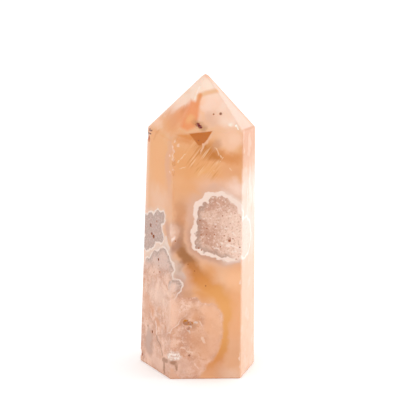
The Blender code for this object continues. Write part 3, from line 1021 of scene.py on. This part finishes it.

# %% [markdown]
# ### Veins, cracks and bruises
# These are single streaks, each placed one by one.

# %% Lay streaks
STREAKS = {
    # A small white fleck near the right arris of the tip
    "fleck_low": (0.7, 0.95, "#FFF8EE", [("front_tip", 10.3, 67.1, 10.8, 66.5, 0.28)]),
    "vug_halo": (1.6, 0.6, "#B98562", [("front_tip", -0.3, 68.0, 1.7, 66.6, 0.8)]),
    "vug": (0.4, 0.95, "#96484C", [("front_tip", 0.05, 67.7, 1.05, 66.95, 0.36)]),
    "healed_crack": (0.9, 0.9, "#EDBB98", [
        ("front", 4.5, 66.0, 1.9, 61.9, 0.26), ("front", 2.1, 62.4, 0.9, 60.2, 0.28),
    ]),
    "needles": (0.9, 0.7, "#F6CFAB", [
        ("front", -2.6, 60.8, -4.9, 57.4, 0.14), ("front", 6.9, 59.3, 4.6, 55.8, 0.14),
        ("front", 4.6, 61.8, 6.4, 59.4, 0.16), ("front", 8.3, 56.6, 8.9, 55.9, 0.13),
        ("front", -4.4, 56.4, -2.8, 57.0, 0.13),
    ]),
    "bruises": (1.0, 0.7, "#F8D0B6", [
        ("left", -6.3, 59.6, -6.0, 57.0, 0.5), ("left", -7.0, 59.4, -6.4, 58.4, 0.3),
        ("front", -5.8, 63.7, -5.8, 63.2, 0.25), ("front", -4.7, 62.5, -4.7, 62.1, 0.3),
        ("left", -6.2, 61.9, -6.2, 61.4, 0.3), ("left", -6.1, 60.8, -6.1, 60.2, 0.3),
        ("left", -6.2, 55.6, -6.1, 54.6, 0.3), ("left", -7.0, 55.4, -7.0, 54.9, 0.25),
        ("left", -6.2, 53.8, -6.1, 51.4, 0.22),
    ]),
    "bruises_of_the_right_arris": (0.9, 0.75, "#FBDDC9", [
        ("front", 11.55, 27.6, 11.5, 25.8, 0.3), ("front", 11.6, 24.0, 11.6, 22.6, 0.2),
        ("front", 11.6, 14.0, 11.6, 12.6, 0.28), ("front", 11.5, 7.0, 11.5, 3.0, 0.28),
    ]),
    "shoulder_notch": (0.6, 0.95, "#7E4426", [
        ("left", -12.85, 64.9, -12.95, 62.4, 0.42), ("left", -12.8, 64.7, -11.9, 64.5, 0.34),
        ("left", -12.6, 63.4, -12.1, 63.3, 0.26),
    ]),
    "notch_stain": (0.5, 0.9, "#C8701F", [("left", -12.85, 62.6, -12.8, 61.8, 0.42)]),
    "shoulder_arc": (0.8, 0.7, "#E39E68", [("left", -10.4, 64.8, -11.4, 62.2, 0.45)]),
    "ridge_on_the_arris": (1.8, 0.5, "#FBD0B7", [("front", -6.3, 21.6, -6.4, 15.0, 1.0)]),
    "light_vein": (0.7, 0.8, "#F5D5C2", [("left", -10.9, 13.4, -10.9, 10.0, 0.3)]),
    "curved_crack": (0.9, 0.75, "#A87C66", [
        ("left", -10.8, 9.9, -9.9, 7.9, 0.3), ("left", -10.0, 8.1, -9.2, 5.4, 0.3),
    ]),
    "roots": (1.1, 0.8, "#A87A60", [
        ("left", -8.7, 4.2, -8.7, 0.7, 0.42), ("left", -8.9, 4.3, -8.0, 4.5, 0.55),
        ("front", -6.4, 4.6, -5.6, 4.4, 0.5), ("front", -5.5, 4.4, -5.5, 2.7, 0.42),
    ]),
    "veins_of_the_plume": (1.2, 0.6, "#FCE8DC", [
        ("front", 6.2, 36.6, 8.6, 35.6, 0.2), ("front", 8.4, 36.2, 11.2, 35.3, 0.24),
        ("front", 9.4, 34.6, 11.2, 34.2, 0.2), ("front", 4.4, 35.4, 6.0, 34.9, 0.18),
        ("front", 8.8, 39.6, 10.2, 38.7, 0.2), ("front", 6.6, 41.2, 7.8, 40.4, 0.16),
    ]),
    "drusy_halo": (1.2, 0.5, "#C08A68", [("front", -3.2, 15.9, -1.0, 14.4, 1.0)]),
    "drusy_stain": (0.8, 0.95, "#DE941A", [
        ("front", -2.95, 15.8, -2.6, 15.1, 0.45), ("front", -1.9, 15.4, -1.2, 15.2, 0.26),
    ]),
    "drusy_crystals": (0.8, 0.7, "#E6CDBE", [
        ("front", -1.9, 14.3, -1.5, 14.0, 0.25), ("front", -0.6, 15.4, 0.0, 15.2, 0.22),
        ("front", -2.5, 13.2, -2.0, 12.9, 0.22),
    ]),
    "small_veins_of_the_bed": (0.8, 0.55, "#F6D3BD", [
        ("front", -4.0, 8.6, -1.2, 7.4, 0.22), ("front", 0.6, 15.6, 1.4, 14.2, 0.25),
        ("front", -2.6, 20.0, -1.8, 19.6, 0.3), ("front", 1.2, 11.6, 1.9, 10.2, 0.3),
        ("front", -1.0, 4.6, 0.4, 2.6, 0.2), ("left", -12.4, 16.4, -12.0, 13.8, 0.22),
        ("left", -9.0, 20.4, -8.2, 18.6, 0.25),
    ]),
}
colour = lay_streaks(colour, ruffled, STREAKS)
print(len(STREAKS), "kinds of streak")

# %% [markdown]
# ### The clear side
# On the right the stone is milky and clear, and light comes through it. Its colour there is partly the
# stone's
# own and partly painted light: the side that the lamp on the right lights is painted paler, and its white
# streaks stand partly for a painted reflection. This skin starts sharply at the arris, so its mask is the
# depth under the right facet's plane, and its colours follow the height.

# %% Lay the milky skin of the right facet, with painted light
MILKY_AND_LIT_COLOURS = [
    (0, "#EDBE9F"), (14, "#EEC09F"), (31, "#EFC5A9"), (34, "#F0CDB8"), (42, "#F1DACB"), (52, "#EFD4C4"),
    (56, "#E3AC88"), (60, "#DC9C74"), (66, "#E09F7A"), (80, "#E5AA85"),
]
WISP_WIDTH, WISP_LENGTH = 1.6, 11.0

under_right = under_facet("right")
# Painted light with the stone's own milky colour: the facet that the lamp on the right lights is painted
# paler
milky_and_lit_mask = fade(under_right, 0.45, 0.1, 0.9)
milky_and_lit = ramp(height, 0, HEIGHT, MILKY_AND_LIT_COLOURS)
milky_and_lit = lay(milky_and_lit, "#E7B08C", fade(cloud, 0.5, 0.66, 0.35))
milky_and_lit = lay(milky_and_lit, "#F6D9C6", fade(blotch, 0.5, 0.68, 0.35))
wisp_scale = (1 / WISP_WIDTH, 1 / WISP_WIDTH, 1 / WISP_LENGTH)
wisp_place = add_node(VECTOR_MATH, {0: wavy, 1: wisp_scale}, operation="MULTIPLY").outputs["Vector"]
inputs = {"Vector": wisp_place, "Scale": 1.0, "Detail": 3.0}
wisp_noise = add_node("ShaderNodeTexNoise", inputs).outputs["Fac"]
near_plume = fade(egg(straight, "right", 13.8, 42.5, 4.5, 15), 1.1, 0.4)
wisps_and_reflection = calculate("MULTIPLY", fade(wisp_noise, 0.47, 0.76, 0.75), near_plume)
# Partly a painted reflection: white streaks on the right facet near the plume
milky_and_lit = lay(milky_and_lit, "#FFF6EE", wisps_and_reflection)
core_seen_through = lay(core_colour, "#FBDFD0", 0.55)
milky_and_lit = lay(milky_and_lit, core_seen_through, fade(right_core, 0.15, -0.3, 0.9))
skin_seen_through = fade(calculate("ABSOLUTE", calculate("ADD", right_skin, 0.35)), 0.5, 0.1, 0.6)
colour = lay(colour, lay(milky_and_lit, "#FFFBF6", skin_seen_through), milky_and_lit_mask)
print("milky skin laid")

# %% [markdown]
# A thin brown line is painted around the foot of the stone: painted shade where it stands on the floor.

# %% Lay the painted shade around the base
# Painted shade: a thin brown darkening along the foot, where the stone meets the floor
colour = lay(colour, "#CB8760", fade(rise, 0.5, 0.1, 0.4))
print("line around the base laid")

# %% Finer marks
DOT_COLOUR = "#A8623C"
DOTS = {
    "front": [
        (8.5, 37.3, 0.42), (4.6, 39.0, 0.2), (4.8, 41.0, 0.16), (6.7, 43.9, 0.2), (2.6, 40.6, 0.2),
        (0.8, 42.7, 0.2), (1.1, 38.9, 0.2), (2.5, 39.0, 0.16), (0.5, 35.4, 0.25), (1.2, 34.9, 0.22),
        (6.2, 35.7, 0.2), (11.2, 35.5, 0.2), (9.4, 37.8, 0.2), (7.1, 38.6, 0.2), (-5.6, 37.3, 0.2),
        (-2.3, 31.1, 0.2), (-0.6, 29.3, 0.2), (2.3, 25.3, 0.22), (0.43, 63.6, 0.22), (-2.0, 6.5, 0.3),
    ],
    "left": [
        (-12.3, 39.0, 0.55), (-10.6, 40.8, 0.3), (-10.8, 39.7, 0.2), (-12.1, 36.8, 0.4), (-11.6, 36.3, 0.5),
        (-10.2, 30.7, 0.4), (-10.0, 29.2, 0.2), (-9.9, 27.5, 0.3), (-11.5, 26.6, 0.25), (-12.0, 10.1, 0.4),
        (-15.0, 2.1, 0.5), (-13.3, 11.0, 0.3),
    ],
    "front_tip": [(4.33, 70.0, 0.25), (6.16, 70.12, 0.4)],
}


def lay_dots(colour, hex_colour, dots):
    """Small round stains, joined in one mask. Each has an x, a z and a radius."""
    field = None
    for facet, dots_here in dots.items():
        for across, height, radius in dots_here:
            inputs = {0: straight, 1: on_facet(facet, across, height)}
            away = add_node(VECTOR_MATH, inputs, operation="DISTANCE").outputs["Value"]
            share = calculate("DIVIDE", away, radius)
            field = share if field is None else calculate("MINIMUM", field, share)
    return lay(colour, hex_colour, fade(field, 1.25, 0.6, 0.9))


colour = lay_dots(colour, DOT_COLOUR, DOTS)
print(sum(len(dots_here) for dots_here in DOTS.values()), "dots")

# %% [markdown]
# ### Finish
# The polish is glassy, and the pits keep their rough skin. A little light enters the stone.

# %% Set the finish
shader = nodes["Principled BSDF"]
links.new(colour, shader.inputs["Base Color"])
shader.inputs["Metallic"].default_value = 0.0
shader.inputs["IOR"].default_value = 1.54
shader.inputs["Roughness"].default_value = 0.1
shader.inputs["Subsurface Weight"].default_value = 0.15
shader.inputs["Subsurface Radius"].default_value = (1.0, 0.55, 0.35)
shader.inputs["Subsurface Scale"].default_value = 0.6 * MM
print(len(nodes), "nodes in the chalcedony")

# %% [markdown]
# ## Floor, light and camera
# The stone stands on white card in even white light, as in a product photograph. The card is matt and glows
# a little, so that it gives the eye a clean white ground with only a soft shadow.

# %% A white floor
FLOOR_SIZE = 6

bpy.ops.object.select_all(action="DESELECT")
bpy.ops.mesh.primitive_plane_add(size=FLOOR_SIZE, location=(0, 0, 0))
floor = bpy.context.object
floor.name = "white_floor"
white_card = bpy.data.materials.new("white_card")
white_card.use_nodes = True
card_shader = white_card.node_tree.nodes["Principled BSDF"]
card_shader.inputs["Base Color"].default_value = (0.97, 0.97, 0.97, 1)
card_shader.inputs["Roughness"].default_value = 0.9
card_shader.inputs["Emission Color"].default_value = (1, 1, 1, 1)
card_shader.inputs["Emission Strength"].default_value = 0.12
floor.data.materials.append(white_card)
print("floor laid")

# %% Light
MIDDLE_OF_STONE = Vector((0, 0, 40 * MM))

world = bpy.data.worlds.new("white_room")
bpy.context.scene.world = world
world.use_nodes = True
world.node_tree.nodes["Background"].inputs["Color"].default_value = (1, 1, 1, 1)
world.node_tree.nodes["Background"].inputs["Strength"].default_value = 1.0


def soft_light(name, location, size, power):
    lamp = bpy.data.lights.new(name, "AREA")
    lamp.size = size
    lamp.energy = power
    holder = bpy.data.objects.new(name, lamp)
    holder.location = location
    aim = MIDDLE_OF_STONE - Vector(location)
    holder.rotation_euler = aim.to_track_quat("-Z", "Y").to_euler()
    bpy.context.scene.collection.objects.link(holder)


soft_light("window_right", (0.6, 0.08, 0.2), 0.5, 1.1)
soft_light("window_above", (0.0, -0.1, 0.7), 0.6, 0.25)
bpy.context.scene.view_settings.view_transform = "Standard"
print("lights set")

# %% Camera
CAMERA_PLACE = (0.82 * MM, -342.65 * MM, 121.98 * MM)
CAMERA_PITCH = math.radians(77.5)
CAMERA_LENS, SENSOR_WIDTH = 118.66, 36

camera_data = bpy.data.cameras.new("photographer")
camera_data.lens = CAMERA_LENS
camera_data.sensor_width = SENSOR_WIDTH
camera = bpy.data.objects.new("photographer", camera_data)
camera.location = CAMERA_PLACE
camera.rotation_euler = (CAMERA_PITCH, 0, 0)
bpy.context.scene.collection.objects.link(camera)
bpy.context.scene.camera = camera
print("camera set")
